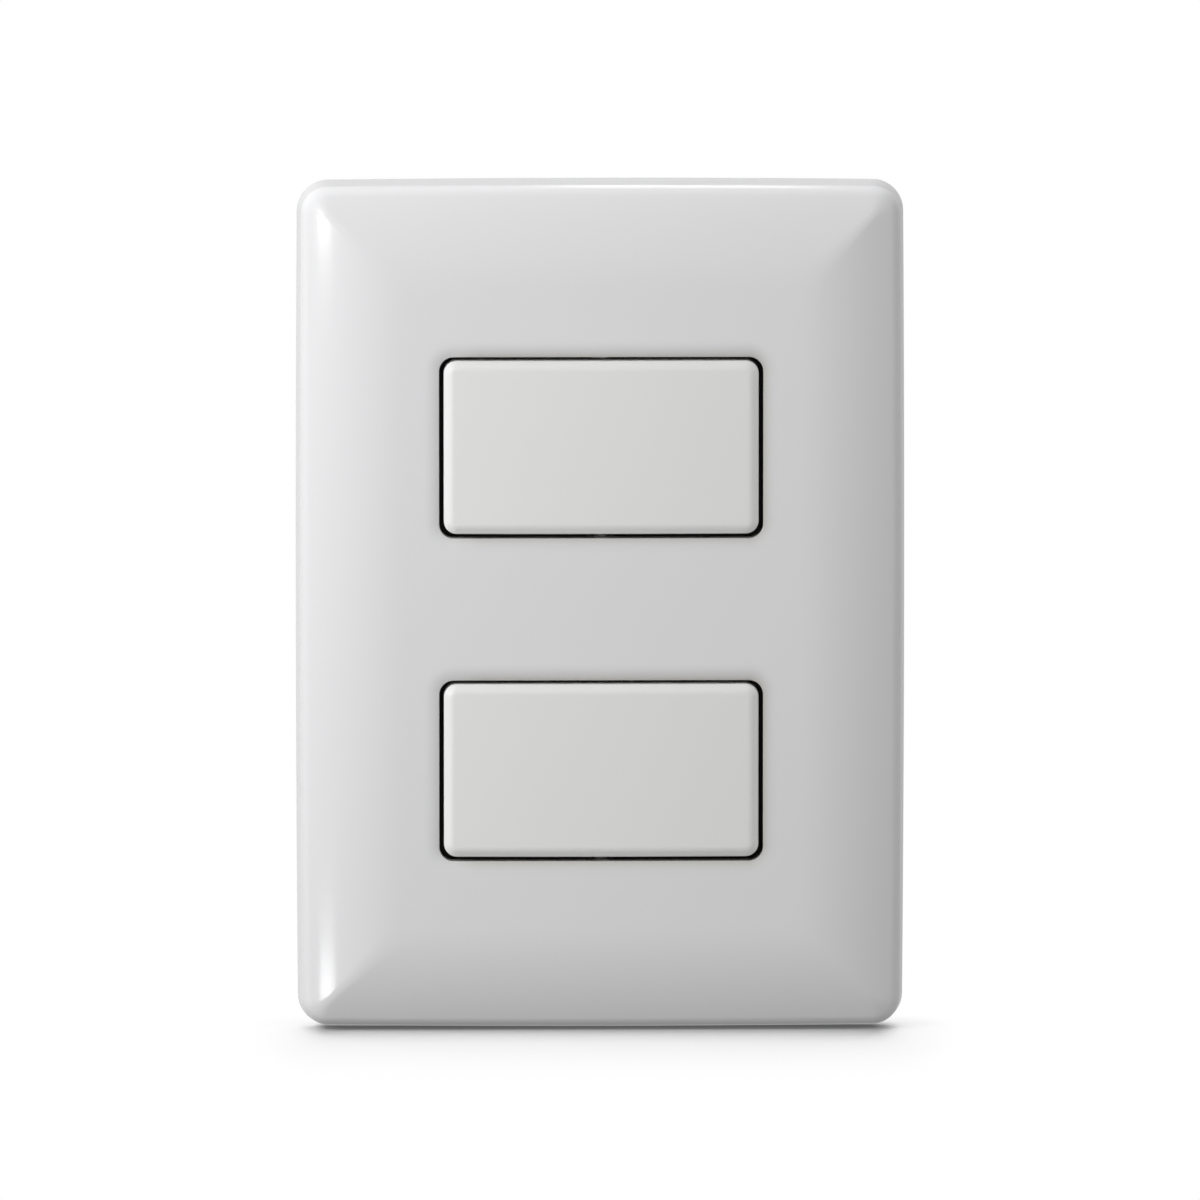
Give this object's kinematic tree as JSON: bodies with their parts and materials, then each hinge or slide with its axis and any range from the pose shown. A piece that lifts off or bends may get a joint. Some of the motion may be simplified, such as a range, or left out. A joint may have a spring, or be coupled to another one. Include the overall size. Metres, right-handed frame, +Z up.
{
  "type": "double light switch",
  "caption": "Upright white wall light switch: a cushion-shaped clip-on plate with rockers laid across it, each tilting a hidden contact arm in a module behind.",
  "frame": {"origin": "midway between the two box screws, on the wall plane, which is the rear face of the plate's rim and of the support frame", "axes": "+X to the right as seen from the room, +Y into the wall along the box screws, +Z up"},
  "size_m": [0.085, 0.0334, 0.119],
  "materials": {
    "white_plate": "polished moulding",
    "white_key": "fine satin moulding",
    "grey_moulding": "as moulded",
    "dark_moulding": "as moulded",
    "nylon": "as moulded",
    "spring_steel": "drawn wire",
    "brass": "stamped",
    "silver_alloy": "pressed silver alloy",
    "zinc_steel": "zinc plated"
  },
  "bodies": {
    "wall_unit": {"face_plate": "white_plate", "support_frame": "grey_moulding", "box_screws": "zinc_steel", "upper_bearing_frame": "dark_moulding", "upper_housing": "dark_moulding", "upper_common_terminal": "brass", "upper_fixed_terminal": "brass", "upper_fixed_contact": "silver_alloy", "upper_wire_clamps": "zinc_steel", "upper_terminal_screws": "zinc_steel", "lower_bearing_frame": "dark_moulding", "lower_housing": "dark_moulding", "lower_common_terminal": "brass", "lower_fixed_terminal": "brass", "lower_fixed_contact": "silver_alloy", "lower_wire_clamps": "zinc_steel", "lower_terminal_screws": "zinc_steel"},
    "upper_key": {"upper_rocker": "white_key", "upper_plunger": "nylon", "upper_spring": "spring_steel"},
    "upper_see_saw": {"upper_contact_arm": "brass", "upper_arm_contact": "silver_alloy"},
    "lower_key": {"lower_rocker": "white_key", "lower_plunger": "nylon", "lower_spring": "spring_steel"},
    "lower_see_saw": {"lower_contact_arm": "brass", "lower_arm_contact": "silver_alloy"}
  },
  "joints": [
    {"name": "upper_rocker_tilt", "type": "hinge", "parent": "wall_unit", "child": "upper_key", "pos_m": [0, -0.0048, 0.0226], "axis": [0, 0, 1], "range_deg": [-4.5, 4.5]},
    {"name": "upper_contact_tilt", "type": "hinge", "parent": "wall_unit", "child": "upper_see_saw", "pos_m": [0, 0.0105, 0.0226], "axis": [0, 0, 1], "range_deg": [-9.5, 9.5]},
    {"name": "lower_rocker_tilt", "type": "hinge", "parent": "wall_unit", "child": "lower_key", "pos_m": [0, -0.0048, -0.0226], "axis": [0, 0, 1], "range_deg": [-4.5, 4.5]},
    {"name": "lower_contact_tilt", "type": "hinge", "parent": "wall_unit", "child": "lower_see_saw", "pos_m": [0, 0.0105, -0.0226], "axis": [0, 0, 1], "range_deg": [-9.5, 9.5]}
  ],
  "couplings": [
    {"joint": "upper_contact_tilt", "follows": "upper_rocker_tilt", "ratio": -2.11},
    {"joint": "lower_contact_tilt", "follows": "lower_rocker_tilt", "ratio": -2.11}
  ]
}
